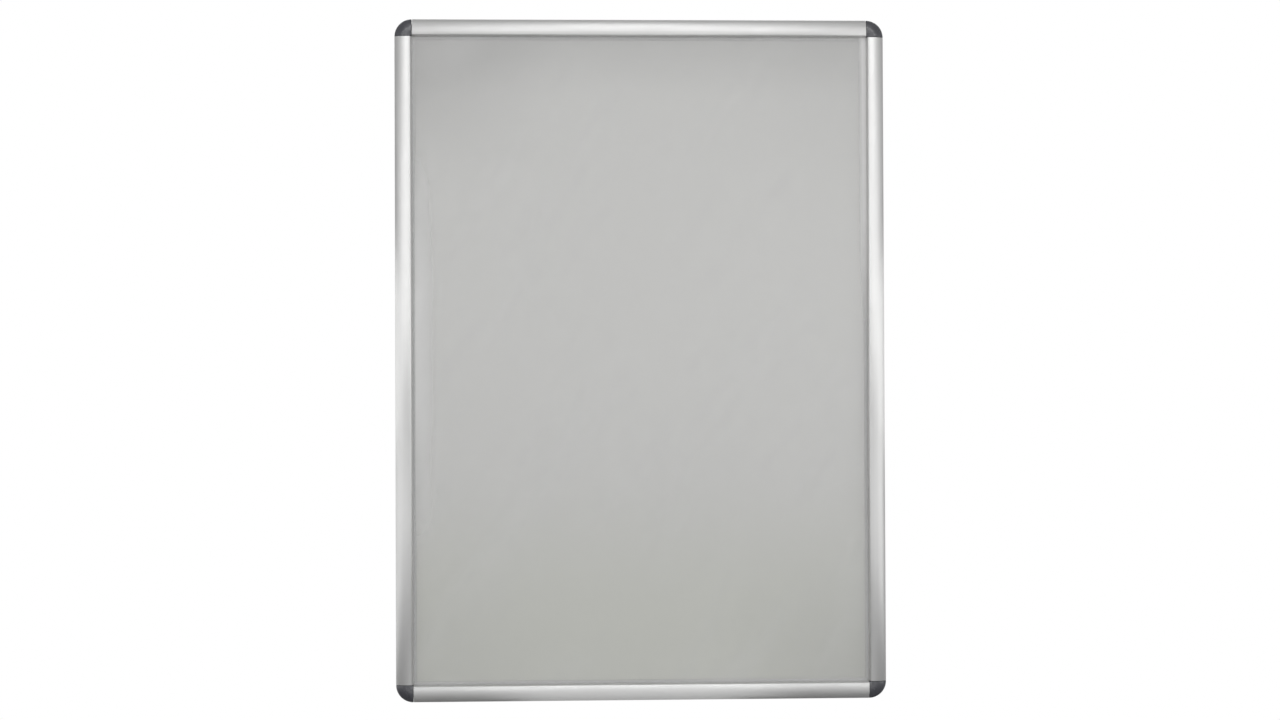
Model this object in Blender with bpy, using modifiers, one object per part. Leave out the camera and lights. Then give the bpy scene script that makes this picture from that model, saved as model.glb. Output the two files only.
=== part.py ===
"""Snap-open poster frame for an A1 sheet, hung upright on a wall.

Four aluminium base rails carry a backing panel in a slot. A snap rail is hinged on a bead along
the outer edge of each base rail, and bowed leaf springs hold it shut on the clear sheet, or open.
Domed plastic caps join the rails at the corners. Metres, +Z up, front towards -Y, and the origin
is the centre of the wall plane.

Sections are drawn as (inset, height): inset runs from the frame's outer edge towards its middle,
height runs from the wall to the front.
"""

import math

import bmesh
import bpy
from mathutils import Matrix, Vector

# Poster and frame
POSTER_WIDTH = 0.594
POSTER_HEIGHT = 0.841
POSTER_BORDER = 0.0205
FRAME_DEPTH = 0.014

# Clearances
FIT_GAP = 0.0003
SEAT_GAP = 0.00035
EDGE_GAP = 0.0005
JOINT_GAP = 0.0005
CUT_OVERRUN = 0.001

# Backing panel and clear sheet
PANEL_THICKNESS = 0.002
SHEET_THICKNESS = 0.0005
PLATE_CORNER_RADIUS = 0.003

# Hinge along the outer edge
BEAD_RADIUS = 0.001
HINGE_GAP = 0.0003
HOOK_WALL = 0.0011
NECK_THICKNESS = 0.0009
PIVOT_HEIGHT = 0.0042
OPEN_ANGLE = math.radians(90)

# Snap rail section
COVER_WIDTH = 0.022
COVER_WALL = 0.0012
CROWN_INSET = 0.0145
CROWN_RADIUS = 0.0175
SHOULDER_RADIUS = 0.002
LIP_TILT = math.radians(72)
COVER_SEAT_HEIGHT = 0.0082
COVER_SEAT_WIDTH = 0.0014
COVER_SEAT_RIM = 0.0006

# Base rail section
BASE_WALL = 0.0012
FLOOR_INSET = 0.0008
FLOOR_END = 0.024
WEB_INSET = 0.0052
CHANNEL_WIDTH = 0.0086
LEDGE_END = 0.0266
STOP_RISE = 0.0016
BASE_SEAT_HEIGHT = 0.007
BASE_SEAT_WIDTH = 0.00145
BASE_SEAT_RIM = 0.0009
SEAT_BACK_RISE = 0.0016
SEAT_BACK_WALL = 0.0007
SEAT_WALL = 0.00065
SEAT_FLOOR = 0.0008
MITRE_GAP = 0.0004

# Leaf springs
SPRING_THICKNESS = 0.0005
SPRING_WIDTH = 0.018
SPRING_HEADROOM = 0.00045
SHORT_SPRING_SHARES = (-0.25, 0.25)
LONG_SPRING_SHARES = (-0.34, 0.0, 0.34)

# Wall screw holes
WALL_HOLE_RADIUS = 0.0022
WALL_SINK_RADIUS = 0.0032
SHORT_WALL_HOLE_SHARES = (-0.4, 0.4)
LONG_WALL_HOLE_SHARES = (-0.17, 0.17)

# Corner caps
CAP_WALL = 0.0018
CAP_END_WALL = 0.0016
RIB_THICKNESS = 0.0012
RIB_BOTTOM = 0.001
LEG_LENGTH = 0.03
LEG_THICKNESS = 0.0035
LEG_SIDE_GAP = 0.0004
LEG_TIP_TAPER = 0.0022

# Corner screws
SCREW_REACH = 0.018
SCREW_RADIUS = 0.0014
SCREW_HEAD_RADIUS = 0.0028
SCREW_HEAD_DEPTH = 0.0014
SCREW_HEAD_SET = 0.0001
SCREW_LENGTH = 0.0058
SCREW_POINT = 0.0012
SCREW_GAP = 0.00035
DRIVE_WIDTH = 0.0006
DRIVE_LENGTH = 0.003
DRIVE_DEPTH = 0.0008

# How finely curves are faceted
SURFACE_STEPS = 18
CAVITY_STEPS = 8
SMALL_ARC_STEPS = 5
HOOK_STEPS = 12
SPRING_STEPS = 12
DOME_STEPS = 56
DOME_CAVITY_STEPS = 32
SCREW_STEPS = 20
SMOOTH_ANGLE = math.radians(35)

# Sizes that follow from the ones above
FRAME_WIDTH = POSTER_WIDTH + 2 * POSTER_BORDER
FRAME_HEIGHT = POSTER_HEIGHT + 2 * POSTER_BORDER
HOOK_BORE = BEAD_RADIUS + HINGE_GAP
HOOK_RADIUS = HOOK_BORE + HOOK_WALL
PIVOT = Vector((HOOK_RADIUS, PIVOT_HEIGHT))
HOOK_END = math.asin((NECK_THICKNESS / 2 + HINGE_GAP) / HOOK_BORE)
SLOT_TOP = BASE_WALL + PANEL_THICKNESS + 2 * FIT_GAP
LEDGE_TOP = SLOT_TOP + BASE_WALL
SHEET_BACK = LEDGE_TOP + FIT_GAP
LIP_BOTTOM = SHEET_BACK + SHEET_THICKNESS + FIT_GAP
CHANNEL_START = WEB_INSET + BASE_WALL
CHANNEL_MIDDLE = CHANNEL_START + CHANNEL_WIDTH / 2
STOP_START = CHANNEL_START + CHANNEL_WIDTH
STOP_END = STOP_START + BASE_WALL
PANEL_INSET = STOP_END + EDGE_GAP
SHEET_INSET = STOP_END + EDGE_GAP
CORNER_SIZE = COVER_WIDTH + FIT_GAP
RAIL_SETBACK = CORNER_SIZE + JOINT_GAP
SHORT_RAIL = FRAME_WIDTH - 2 * RAIL_SETBACK
LONG_RAIL = FRAME_HEIGHT - 2 * RAIL_SETBACK


def clear_scene():
    for old in list(bpy.data.objects):
        bpy.data.objects.remove(old, do_unlink=True)


def collection_named(name):
    made = bpy.data.collections.new(name)
    bpy.context.scene.collection.children.link(made)
    return made


def plain_material(name, colour, roughness, metallic=0.0, transmission=0.0):
    """A Principled BSDF with one colour."""
    material = bpy.data.materials.new(name)
    material.use_nodes = True
    shader = material.node_tree.nodes["Principled BSDF"]
    shader.inputs["Base Color"].default_value = (*colour, 1.0)
    shader.inputs["Roughness"].default_value = roughness
    shader.inputs["Metallic"].default_value = metallic
    shader.inputs["Transmission Weight"].default_value = transmission
    return material


def arc(centre, radii, start, end, steps):
    """Points on an ellipse from start to end, in radians, both ends included."""
    points = []
    for step in range(steps + 1):
        angle = start + (end - start) * step / steps
        reach = Vector((radii[0] * math.cos(angle), radii[1] * math.sin(angle)))
        points.append(Vector(centre) + reach)
    return points


def round_arc(centre, radius, start, end, steps):
    return arc(centre, (radius, radius), start, end, steps)


def mesh_of(obj):
    """The object's mesh as its modifiers or its curve leave it, with its doubles welded."""
    bpy.context.view_layer.update()
    graph = bpy.context.evaluated_depsgraph_get()
    mesh = bpy.data.meshes.new_from_object(obj.evaluated_get(graph))
    mesh.transform(obj.matrix_world)
    work = bmesh.new()
    work.from_mesh(mesh)
    bmesh.ops.remove_doubles(work, verts=work.verts, dist=FIT_GAP / 1000)
    bmesh.ops.recalc_face_normals(work, faces=work.faces)
    work.to_mesh(mesh)
    work.free()
    return mesh


def helper(name, data, matrix=None):
    """An object that shapes others and isn't part of the frame."""
    obj = bpy.data.objects.new(name, data)
    cutters.objects.link(obj)
    obj.hide_render = True
    obj.display_type = "WIRE"
    if matrix is not None:
        obj.matrix_world = matrix
    return obj


def extruded(name, outline, length):
    """A mesh of a flat outline, drawn in X and Y and extruded both ways along Z."""
    curve = bpy.data.curves.new(name, "CURVE")
    curve.dimensions = "2D"
    curve.fill_mode = "BOTH"
    curve.extrude = length / 2
    spline = curve.splines.new("POLY")
    spline.points.add(len(outline) - 1)
    for point, place in zip(spline.points, outline):
        point.co = (place[0], place[1], 0.0, 1.0)
    spline.use_cyclic_u = True
    drawn = helper(name + "_outline", curve)
    mesh = mesh_of(drawn)
    bpy.data.objects.remove(drawn, do_unlink=True)
    mesh.name = name
    return mesh


def turned(name, profile, steps):
    """A closed mesh of a profile of (radius, height), top to bottom, turned about Z."""
    mesh = bpy.data.meshes.new(name)
    mesh.from_pydata([(radius, 0, height) for radius, height in profile], [], [])
    work = bmesh.new()
    work.from_mesh(mesh)
    work.verts.ensure_lookup_table()
    for first, second in zip(list(work.verts), list(work.verts)[1:]):
        work.edges.new((first, second))
    work.to_mesh(mesh)
    work.free()
    pattern = helper(name + "_profile", mesh)
    screw = pattern.modifiers.new("turn", "SCREW")
    screw.steps = steps
    screw.render_steps = steps
    screw.use_merge_vertices = True
    screw.merge_threshold = FIT_GAP / 100
    result = mesh_of(pattern)
    bpy.data.objects.remove(pattern, do_unlink=True)
    result.name = name
    return result


def box(name, low, high):
    """A box between two corners."""
    mesh = bpy.data.meshes.new(name)
    work = bmesh.new()
    bmesh.ops.create_cube(work, size=1.0)
    sides = Vector(high) - Vector(low)
    bmesh.ops.scale(work, vec=sides, verts=work.verts)
    bmesh.ops.translate(work, vec=Vector(low) + sides / 2, verts=work.verts)
    work.to_mesh(mesh)
    work.free()
    return mesh


def combined(name, mesh, steps):
    """The mesh after Booleans with each (operation, mesh, matrix) of steps."""
    body = helper(name + "_body", mesh)
    tools = []
    for operation, tool_mesh, matrix in steps:
        tool = helper(name + "_tool", tool_mesh, matrix)
        tools.append(tool)
        boolean = body.modifiers.new(operation.lower(), "BOOLEAN")
        boolean.operation = operation
        boolean.solver = "EXACT"
        boolean.object = tool
    result = mesh_of(body)
    for old in [body, *tools]:
        bpy.data.objects.remove(old, do_unlink=True)
    result.name = name
    return result


def smooth(mesh):
    mesh.shade_smooth()
    mesh.set_sharp_from_angle(angle=SMOOTH_ANGLE)
    return mesh


def placed(name, mesh, parent, material, location=(0, 0, 0), turn=None):
    """A piece of the frame, hung on an empty."""
    piece = bpy.data.objects.new(name, mesh)
    if not mesh.materials:
        mesh.materials.append(material)
    frame.objects.link(piece)
    piece.parent = parent
    local = Matrix.Translation(location)
    piece.matrix_local = local if turn is None else local @ turn
    return piece


def empty_at(name, matrix, parent=None):
    empty = bpy.data.objects.new(name, None)
    frame.objects.link(empty)
    empty.parent = parent
    empty.matrix_local = matrix
    return empty


def slope_normal():
    """The direction in which the lip's sloping face looks, towards the middle of the frame."""
    return Vector((math.sin(LIP_TILT), math.cos(LIP_TILT)))


def lip_centre():
    return Vector((COVER_WIDTH - COVER_WALL / 2, LIP_BOTTOM + COVER_WALL / 2))


def crown_centre():
    return Vector((CROWN_INSET, FRAME_DEPTH - CROWN_RADIUS))


def shoulder_tilt():
    """Where the crown's arc turns into the shoulder, so that the shoulder meets the lip's face."""
    normal = slope_normal()
    reach = lip_centre().dot(normal) + COVER_WALL / 2 - SHOULDER_RADIUS - crown_centre().dot(normal)
    return LIP_TILT - math.acos(reach / (CROWN_RADIUS - SHOULDER_RADIUS))


def arch(offset, steps):
    """The rounded face from the outer edge up to its crown, moved inwards by offset."""
    radii = (CROWN_INSET - offset, FRAME_DEPTH - PIVOT_HEIGHT - offset)
    return arc((CROWN_INSET, PIVOT_HEIGHT), radii, math.pi, math.pi / 2, steps)


def visible_face(offset):
    """The snap rail's rounded face from the outer edge to the lip, moved inwards by offset."""
    quarter = math.pi / 2
    tilt = shoulder_tilt()
    tilt_angle = quarter - tilt
    lip_angle = quarter - LIP_TILT
    crown = round_arc(crown_centre(), CROWN_RADIUS - offset, quarter, tilt_angle, SMALL_ARC_STEPS)
    reach = CROWN_RADIUS - SHOULDER_RADIUS
    centre = crown_centre() + Vector((math.sin(tilt), math.cos(tilt))) * reach
    shoulder = round_arc(centre, SHOULDER_RADIUS - offset, tilt_angle, lip_angle, SMALL_ARC_STEPS)
    return arch(offset, SURFACE_STEPS) + crown[1:] + shoulder[1:]


def inner_face_inset(height):
    """Inset of the lip's inner wall at a height."""
    normal = slope_normal()
    return (lip_centre().dot(normal) - COVER_WALL / 2 - height * normal.y) / normal.x


def cover_outline():
    """Section of a snap rail: hook, rounded face, lip with its spring seat, and back to the hook."""
    turn = math.pi
    hook_start = turn * 2 - OPEN_ANGLE - HOOK_END
    outside = round_arc(PIVOT, HOOK_RADIUS, hook_start, turn, SMALL_ARC_STEPS)
    face = visible_face(0)
    normal_angle = turn / 2 - LIP_TILT
    tip = round_arc(lip_centre(), COVER_WALL / 2, normal_angle, normal_angle - turn, SMALL_ARC_STEPS)
    seat_bottom = COVER_SEAT_HEIGHT - SEAT_FLOOR
    seat_end = inner_face_inset(COVER_SEAT_HEIGHT) - COVER_SEAT_WIDTH
    rim_top = COVER_SEAT_HEIGHT + COVER_SEAT_RIM
    seat = [
        (inner_face_inset(seat_bottom), seat_bottom),
        (seat_end - SEAT_WALL, seat_bottom),
        (seat_end - SEAT_WALL, rim_top),
        (seat_end, rim_top),
        (seat_end, COVER_SEAT_HEIGHT),
        (inner_face_inset(COVER_SEAT_HEIGHT), COVER_SEAT_HEIGHT),
    ]
    underside = visible_face(COVER_WALL)[::-1]
    underside = [point for point in underside if (point - PIVOT).length > HOOK_RADIUS + FIT_GAP / 3]
    root = underside[-1] - PIVOT
    finger = round_arc(PIVOT, HOOK_RADIUS, math.atan2(root.y, root.x), HOOK_END, SMALL_ARC_STEPS)
    bore = round_arc(PIVOT, HOOK_BORE, HOOK_END, hook_start, HOOK_STEPS)
    return outside + face[1:] + tip + seat + underside + finger + bore


def base_outline():
    """Section of a base rail: hinge bead, floor, panel slot, ledge, stop, channel and spring seat."""
    half_neck = NECK_THICKNESS / 2
    neck_angle = math.asin(half_neck / BEAD_RADIUS)
    bead = round_arc(PIVOT, BEAD_RADIUS, neck_angle, 2 * math.pi - neck_angle, HOOK_STEPS)
    edge_radius = BASE_WALL / 2
    edge_centre = (LEDGE_END - edge_radius, SLOT_TOP + edge_radius)
    ledge_edge = round_arc(edge_centre, edge_radius, -math.pi / 2, math.pi / 2, SMALL_ARC_STEPS)
    seat_start = WEB_INSET + SEAT_BACK_WALL
    seat_end = seat_start + BASE_SEAT_WIDTH
    seat_outside = seat_end + SEAT_WALL
    seat_bottom = BASE_SEAT_HEIGHT - SEAT_FLOOR
    rim_top = BASE_SEAT_HEIGHT + BASE_SEAT_RIM
    back_top = BASE_SEAT_HEIGHT + SEAT_BACK_RISE
    stop_top = LEDGE_TOP + STOP_RISE
    return [
        *bead,
        (WEB_INSET, PIVOT_HEIGHT - half_neck),
        (WEB_INSET, BASE_WALL),
        (FLOOR_INSET, BASE_WALL),
        (FLOOR_INSET, 0),
        (FLOOR_END, 0),
        (FLOOR_END, BASE_WALL),
        (STOP_END, BASE_WALL),
        (STOP_END, SLOT_TOP),
        *ledge_edge,
        (STOP_END, LEDGE_TOP),
        (STOP_END, stop_top),
        (STOP_START, stop_top),
        (STOP_START, BASE_WALL),
        (CHANNEL_START, BASE_WALL),
        (CHANNEL_START, seat_bottom - (seat_outside - CHANNEL_START)),
        (seat_outside, seat_bottom),
        (seat_outside, rim_top),
        (seat_end, rim_top),
        (seat_end, BASE_SEAT_HEIGHT),
        (seat_start, BASE_SEAT_HEIGHT),
        (seat_start, back_top),
        (WEB_INSET, back_top),
        (WEB_INSET, PIVOT_HEIGHT + half_neck),
    ]


def underside_height(inset):
    """Height of the closed snap rail's underside at an inset on its arch."""
    reach = CROWN_INSET - COVER_WALL
    share = (CROWN_INSET - inset) / reach
    return PIVOT_HEIGHT + (FRAME_DEPTH - PIVOT_HEIGHT - COVER_WALL) * math.sqrt(1 - share**2)


def spring_ends():
    """Where a leaf spring stands in the base rail's seat and in the closed snap rail's seat."""
    half = SPRING_THICKNESS / 2
    foot = Vector((WEB_INSET + SEAT_BACK_WALL + SEAT_GAP + half, BASE_SEAT_HEIGHT + SEAT_GAP))
    head_height = COVER_SEAT_HEIGHT + SEAT_GAP
    head = Vector((inner_face_inset(head_height) - SEAT_GAP - half, head_height))
    return foot, head


def spring_outline():
    """Section of a leaf spring: an arc of strip from one seat to the other."""
    foot, head = spring_ends()
    chord = head - foot
    middle = (foot + head) / 2
    rise = underside_height(middle.x) - SPRING_HEADROOM - SPRING_THICKNESS / 2 - middle.y
    radius = (chord.length_squared / 4 + rise**2) / (2 * rise)
    across = Vector((-chord.y, chord.x)).normalized()
    centre = middle - across * (radius - rise)
    start = math.atan2(foot.y - centre.y, foot.x - centre.x)
    end = math.atan2(head.y - centre.y, head.x - centre.x)
    half = SPRING_THICKNESS / 2
    outer = round_arc(centre, radius + half, start, end, SPRING_STEPS)
    inner = round_arc(centre, radius - half, end, start, SPRING_STEPS)
    return outer + inner


def mitre_cutter(half_length, end):
    """A box whose face lies on the mitre of the base rails' inner flanges, at one end of the rail."""
    side = 2 * LEDGE_END
    slab = box("mitre", (0, -CUT_OVERRUN, -side), (side, FRAME_DEPTH + CUT_OVERRUN, side))
    corner = half_length + RAIL_SETBACK
    turn = Matrix.Rotation(-end * math.pi / 4, 4, "Y")
    start = Vector((0, 0, end * corner)) - turn @ Vector((MITRE_GAP / 2, 0, 0))
    return slab, Matrix.Translation(start) @ turn


def sunk_hole(radius, sink_radius, wall, sink_at_top):
    """A cutter along Z for a countersunk hole through a wall that stands on the XY plane."""
    over = wall + CUT_OVERRUN
    depth = sink_radius - radius
    if sink_at_top:
        mouth = [(sink_radius, over), (sink_radius, wall)]
        bore = [(radius, wall - depth), (radius, -CUT_OVERRUN)]
        outline = mouth + bore
    else:
        bore = [(radius, over), (radius, depth)]
        mouth = [(sink_radius, 0), (sink_radius, -CUT_OVERRUN)]
        outline = bore + mouth
    return turned("hole", [(0, over), *outline, (0, -CUT_OVERRUN)], SCREW_STEPS)


def base_rail_mesh(name, length, wall_hole_shares):
    """A base rail: section, mitred inner flanges, wall screw holes and corner screw holes."""
    rail = extruded(name, base_outline(), length)
    half = length / 2
    steps = [("DIFFERENCE", *mitre_cutter(half, end)) for end in (-1, 1)]
    upright = Matrix.Rotation(-math.pi / 2, 4, "X")
    wall_hole = sunk_hole(WALL_HOLE_RADIUS, WALL_SINK_RADIUS, BASE_WALL, True)
    for share in wall_hole_shares:
        place = Matrix.Translation((CHANNEL_MIDDLE, 0, share * length))
        steps.append(("DIFFERENCE", wall_hole, place @ upright))
    head = SCREW_HEAD_RADIUS + SCREW_GAP
    screw_hole = sunk_hole(SCREW_RADIUS + SCREW_GAP, head, BASE_WALL, False)
    for end in (-1, 1):
        reach = half + JOINT_GAP - SCREW_REACH
        place = Matrix.Translation((CHANNEL_MIDDLE, 0, end * reach))
        steps.append(("DIFFERENCE", screw_hole, place @ upright))
    return smooth(combined(name, rail, steps))


def snap_rail_mesh(name, length):
    """A snap rail, drawn about its hinge axis."""
    outline = [Vector(point[:2]) - PIVOT for point in cover_outline()]
    return smooth(extruded(name, outline, length))


def dome(name, offset, bottom, face_steps, turn_steps):
    """The rail's rounded face turned about the cap's inner corner, moved inwards by offset."""
    radius = CROWN_RADIUS - offset
    middle_angle = math.acos((CORNER_SIZE - CROWN_INSET) / radius)
    crown = round_arc(crown_centre(), radius, middle_angle, math.pi / 2, SMALL_ARC_STEPS)
    face = crown + arch(offset, face_steps)[-2::-1]
    profile = [(CORNER_SIZE - point.x, point.y) for point in face]
    rim = CORNER_SIZE - offset
    return turned(name, [*profile, (rim, bottom), (0, bottom)], turn_steps)


def leg_mesh():
    """A tongue of the cap, along -X from the cap's face, tapered at its tip."""
    half = CHANNEL_WIDTH / 2 - LEG_SIDE_GAP
    root = CAP_END_WALL + CAP_WALL
    outline = [
        (root, -half),
        (root, half),
        (LEG_TIP_TAPER - LEG_LENGTH, half),
        (-LEG_LENGTH, half - LEG_TIP_TAPER),
        (-LEG_LENGTH, LEG_TIP_TAPER - half),
        (LEG_TIP_TAPER - LEG_LENGTH, -half),
    ]
    return extruded("leg", outline, LEG_THICKNESS)


def corner_cap_mesh():
    """A hollow quarter dome with ribs inside and a tongue for each of its two rails."""
    top = FRAME_DEPTH + CUT_OVERRUN
    far = CORNER_SIZE + CUT_OVERRUN
    quadrant = box("quadrant", (0, 0, -CUT_OVERRUN), (far, far, top))
    outside = dome("cap_outside", 0, 0, SURFACE_STEPS, DOME_STEPS)
    shell = combined("cap_shell", outside, [("INTERSECT", quadrant, None)])
    leg_line = CORNER_SIZE - CHANNEL_MIDDLE
    half_rib = RIB_THICKNESS / 2
    low_rib = leg_line - half_rib
    high_rib = leg_line + half_rib
    inside = box("inside", (CAP_END_WALL, CAP_END_WALL, -2 * CUT_OVERRUN), (far, far, top))
    rib_x = box("rib_x", (-far, low_rib, RIB_BOTTOM), (far, high_rib, top))
    rib_y = box("rib_y", (low_rib, -far, RIB_BOTTOM), (high_rib, far, top))
    hollow_steps = [("INTERSECT", inside, None)]
    hollow_steps += [("DIFFERENCE", rib, None) for rib in (rib_x, rib_y)]
    cavity = dome("cap_inside", CAP_WALL, -CUT_OVERRUN, CAVITY_STEPS, DOME_CAVITY_STEPS)
    hollow = combined("cap_hollow", cavity, hollow_steps)
    pocket_side = CORNER_SIZE - PANEL_INSET + EDGE_GAP
    pocket_corner = (-CUT_OVERRUN, -CUT_OVERRUN, -CUT_OVERRUN)
    pocket = box("pocket", pocket_corner, (pocket_side, pocket_side, LIP_BOTTOM))
    leg = leg_mesh()
    leg_height = BASE_WALL + FIT_GAP + LEG_THICKNESS / 2
    along_x = Matrix.Translation((0, leg_line, leg_height))
    along_y = Matrix.Translation((leg_line, 0, leg_height)) @ Matrix.Rotation(math.pi / 2, 4, "Z")
    bore_radius = SCREW_RADIUS + SCREW_GAP
    bore_profile = [(0, top), (bore_radius, top), (bore_radius, -CUT_OVERRUN), (0, -CUT_OVERRUN)]
    bore = turned("screw_bore", bore_profile, SCREW_STEPS)
    steps = [
        ("DIFFERENCE", hollow, None),
        ("DIFFERENCE", pocket, None),
        ("UNION", leg, along_x),
        ("UNION", leg, along_y),
        ("DIFFERENCE", bore, Matrix.Translation((-SCREW_REACH, leg_line, 0))),
        ("DIFFERENCE", bore, Matrix.Translation((leg_line, -SCREW_REACH, 0))),
    ]
    return smooth(combined("corner_cap", shell, steps))


def corner_screw_mesh():
    """A countersunk screw along Z, its head at the wall, with a cross recess."""
    tip = SCREW_HEAD_SET + SCREW_LENGTH
    profile = [
        (0, tip),
        (SCREW_RADIUS, tip - SCREW_POINT),
        (SCREW_RADIUS, SCREW_HEAD_SET + SCREW_HEAD_DEPTH),
        (SCREW_HEAD_RADIUS, SCREW_HEAD_SET),
        (0, SCREW_HEAD_SET),
    ]
    body = turned("corner_screw", profile, SCREW_STEPS)
    half_long = DRIVE_LENGTH / 2
    half_wide = DRIVE_WIDTH / 2
    deep = SCREW_HEAD_SET + DRIVE_DEPTH
    slot_x = box("slot_x", (-half_long, -half_wide, -CUT_OVERRUN), (half_long, half_wide, deep))
    slot_y = box("slot_y", (-half_wide, -half_long, -CUT_OVERRUN), (half_wide, half_long, deep))
    steps = [("DIFFERENCE", slot_x, None), ("DIFFERENCE", slot_y, None)]
    return smooth(combined("corner_screw", body, steps))


def plate_mesh(name, inset, thickness):
    """A flat plate inset from the frame's outer edge all round, with round corners."""
    half_width = FRAME_WIDTH / 2 - inset
    half_height = FRAME_HEIGHT / 2 - inset
    quarter = math.pi / 2
    outline = []
    for index, (side_x, side_y) in enumerate(((1, 1), (-1, 1), (-1, -1), (1, -1))):
        reach_x = half_width - PLATE_CORNER_RADIUS
        reach_y = half_height - PLATE_CORNER_RADIUS
        centre = (side_x * reach_x, side_y * reach_y)
        start = index * quarter
        outline += round_arc(centre, PLATE_CORNER_RADIUS, start, start + quarter, SMALL_ARC_STEPS)
    return extruded(name, outline, thickness)


def build_sides():
    """The base rail, snap rail and leaf springs of each side."""
    aluminium = plain_material("satin_aluminium", (0.80, 0.80, 0.79), 0.35, metallic=1.0)
    steel = plain_material("spring_steel", (0.45, 0.46, 0.48), 0.3, metallic=1.0)
    short_base = base_rail_mesh("short_base_rail", SHORT_RAIL, SHORT_WALL_HOLE_SHARES)
    long_base = base_rail_mesh("long_base_rail", LONG_RAIL, LONG_WALL_HOLE_SHARES)
    short_snap = snap_rail_mesh("short_snap_rail", SHORT_RAIL)
    long_snap = snap_rail_mesh("long_snap_rail", LONG_RAIL)
    spring = smooth(extruded("leaf_spring", spring_outline(), SPRING_WIDTH))
    half_width = FRAME_WIDTH / 2
    half_height = FRAME_HEIGHT / 2
    short_side = (short_base, short_snap, SHORT_RAIL, SHORT_SPRING_SHARES)
    long_side = (long_base, long_snap, LONG_RAIL, LONG_SPRING_SHARES)
    sides = (
        ("top", (0, 0, half_height), short_side),
        ("right", (half_width, 0, 0), long_side),
        ("bottom", (0, 0, -half_height), short_side),
        ("left", (-half_width, 0, 0), long_side),
    )
    facing = Matrix(((0, 0, -1, 0), (0, -1, 0, 0), (-1, 0, 0, 0), (0, 0, 0, 1)))
    for index, (side, edge, (base_mesh, snap_mesh, length, shares)) in enumerate(sides):
        turn = Matrix.Rotation(index * math.pi / 2, 4, "Y")
        edge_empty = empty_at("outer_edge_" + side, Matrix.Translation(edge) @ turn @ facing)
        placed("base_rail_" + side, base_mesh, edge_empty, aluminium)
        hinge = empty_at("hinge_axis_" + side, Matrix.Translation((*PIVOT, 0)), edge_empty)
        placed("snap_rail_" + side, snap_mesh, hinge, aluminium)
        for number, share in enumerate(shares, 1):
            name = f"leaf_spring_{side}_{number}"
            placed(name, spring, edge_empty, steel, (0, 0, share * length))


def build_corners():
    """The cap and the two screws of each corner."""
    plastic = plain_material("anthracite_plastic", (0.07, 0.07, 0.08), 0.45)
    steel = plain_material("zinc_plated_steel", (0.62, 0.62, 0.60), 0.35, metallic=1.0)
    cap_mesh = corner_cap_mesh()
    screw_mesh = corner_screw_mesh()
    corner_x = FRAME_WIDTH / 2 - CORNER_SIZE
    corner_z = FRAME_HEIGHT / 2 - CORNER_SIZE
    leg_line = CORNER_SIZE - CHANNEL_MIDDLE
    upright = Matrix.Rotation(math.pi / 2, 4, "X")
    corners = (
        ("top_right", 1, 1),
        ("bottom_right", 1, -1),
        ("bottom_left", -1, -1),
        ("top_left", -1, 1),
    )
    for index, (corner, side_x, side_z) in enumerate(corners):
        turn = Matrix.Rotation(index * math.pi / 2, 4, "Y")
        place = Matrix.Translation((side_x * corner_x, 0, side_z * corner_z))
        corner_empty = empty_at("inner_corner_" + corner, place @ turn @ upright)
        placed("corner_cap_" + corner, cap_mesh, corner_empty, plastic)
        spots = ((-SCREW_REACH, leg_line, 0), (leg_line, -SCREW_REACH, 0))
        for number, spot in enumerate(spots, 1):
            placed(f"corner_screw_{corner}_{number}", screw_mesh, corner_empty, steel, spot)


def build_plates():
    """The backing panel in the rails' slot and the clear sheet on their ledge."""
    grey = plain_material("grey_board", (0.50, 0.50, 0.49), 0.6)
    clear = plain_material("clear_sheet", (0.95, 0.95, 0.95), 0.15, transmission=1.0)
    middle = empty_at("wall_plane", Matrix.Rotation(math.pi / 2, 4, "X"))
    panel = plate_mesh("backing_panel", PANEL_INSET, PANEL_THICKNESS)
    panel_height = BASE_WALL + FIT_GAP + PANEL_THICKNESS / 2
    placed("backing_panel", panel, middle, grey, (0, 0, panel_height))
    sheet = plate_mesh("clear_sheet", SHEET_INSET, SHEET_THICKNESS)
    placed("clear_sheet", sheet, middle, clear, (0, 0, SHEET_BACK + SHEET_THICKNESS / 2))


clear_scene()
frame = collection_named("poster_frame")
cutters = collection_named("cutters")
build_sides()
build_corners()
build_plates()
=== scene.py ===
"""Snap-open poster frame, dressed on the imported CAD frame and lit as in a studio.

Metres, +Z up, front towards -Y, the wall at Y = 0. The rails' sections are drawn as (inset,
height): inset runs from the frame's outer edge towards its middle, height from the wall out.
"""

import math

import bmesh
import bpy
from mathutils import Matrix, Vector, noise


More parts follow.
